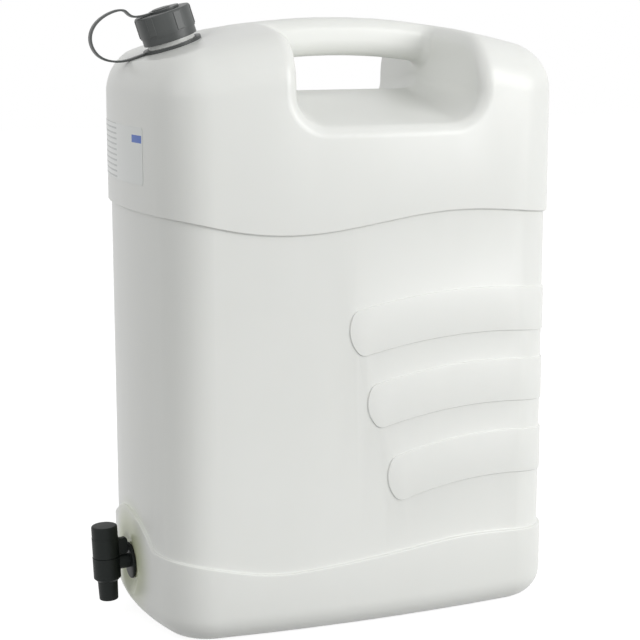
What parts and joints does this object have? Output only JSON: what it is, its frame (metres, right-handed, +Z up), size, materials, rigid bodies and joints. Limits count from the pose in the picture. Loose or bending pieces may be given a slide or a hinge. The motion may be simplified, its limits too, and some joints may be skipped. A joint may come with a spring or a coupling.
{
  "type": "water jerrycan",
  "caption": "Tall hollow can with a carrying grip through its top, a screw cap held by a strap, and a lever tap with a spout at the foot of one end.",
  "frame": {"origin": "centre of the footprint on the floor", "axes": "+Z up, +X along the can, away from the cap and the tap, +Y across"},
  "size_m": [0.4236, 0.237, 0.5505],
  "materials": {
    "milky_plastic": "slightly translucent, satin",
    "label_film": "printed film",
    "grey_plastic": "satin",
    "black_plastic": "satin",
    "seal_rubber": "matt"
  },
  "bodies": {
    "can": {"canister": "milky_plastic", "label": "label_film", "cap_strap": "grey_plastic", "tap_body": "black_plastic", "tap_gasket": "seal_rubber"},
    "cap_holder": {"strap_button": "grey_plastic"},
    "cap": {"screw_cap": "grey_plastic", "cap_gasket": "seal_rubber"},
    "plug": {"tap_plug": "black_plastic", "tap_o_ring_upper": "seal_rubber", "tap_o_ring_lower": "seal_rubber"}
  },
  "joints": [
    {"name": "cap_lift", "type": "slide", "parent": "can", "child": "cap_holder", "axis": [-0.309, 0, 0.9511], "range_m": [0, 0.06], "deforming": ["cap_strap"]},
    {"name": "cap_turn", "type": "hinge", "parent": "cap_holder", "child": "cap", "pos_m": [-0.1451, 0, 0.5133], "axis": [-0.309, 0, 0.9511], "continuous": true},
    {"name": "tap_turn", "type": "hinge", "parent": "can", "child": "plug", "pos_m": [-0.2153, 0, 0.05], "axis": [-0.0436, 0, 0.999], "range_deg": [-90, 90]}
  ]
}
